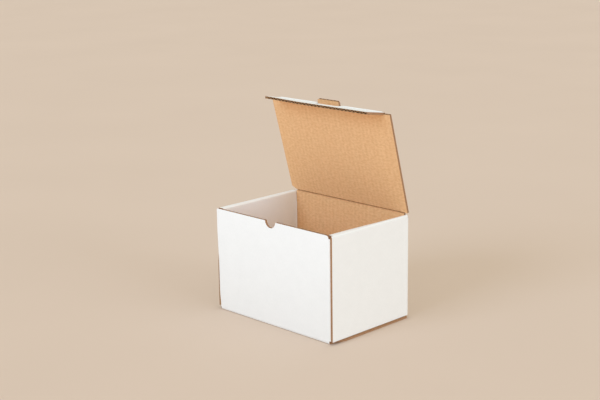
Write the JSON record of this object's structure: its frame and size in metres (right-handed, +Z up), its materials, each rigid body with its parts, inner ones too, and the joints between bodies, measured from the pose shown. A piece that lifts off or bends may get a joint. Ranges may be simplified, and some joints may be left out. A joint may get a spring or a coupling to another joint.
{
  "type": "corrugated mailer box",
  "caption": "Folded corrugated mailer box with rolled double side walls, a thumb notch, and a hinged lid with a tuck flap and a pull tab, standing open.",
  "frame": {"origin": "middle of the box's footprint, on the surface that it stands on", "axes": "+Z up, +X to the right seen from the front, -Y towards the front wall with the thumb notch"},
  "size_m": [0.204, 0.138, 0.2712],
  "materials": {
    "tray_board": "matt white liner outside, plain kraft inside",
    "lid_board": "matt white liner outside, plain kraft inside",
    "flap_board": "matt white liner outside, plain kraft inside"
  },
  "bodies": {
    "tray": {"tray": "tray_board"},
    "lid": {"lid": "lid_board"},
    "tuck_flap": {"tuck_flap": "flap_board"}
  },
  "joints": [
    {"name": "lid_crease", "type": "hinge", "parent": "tray", "child": "lid", "pos_m": [0, 0.0675, 0.1357], "axis": [-1, 0, 0], "range_deg": [-75.7, 104.3]},
    {"name": "tuck_flap_crease", "type": "hinge", "parent": "lid", "child": "tuck_flap", "pos_m": [0, 0.03497, 0.26332], "axis": [1, 0, 0], "range_deg": [-47.4, 34.4]}
  ],
  "couplings": [
    {"joint": "tuck_flap_crease", "follows": "lid_crease", "ratio": -0.453}
  ]
}
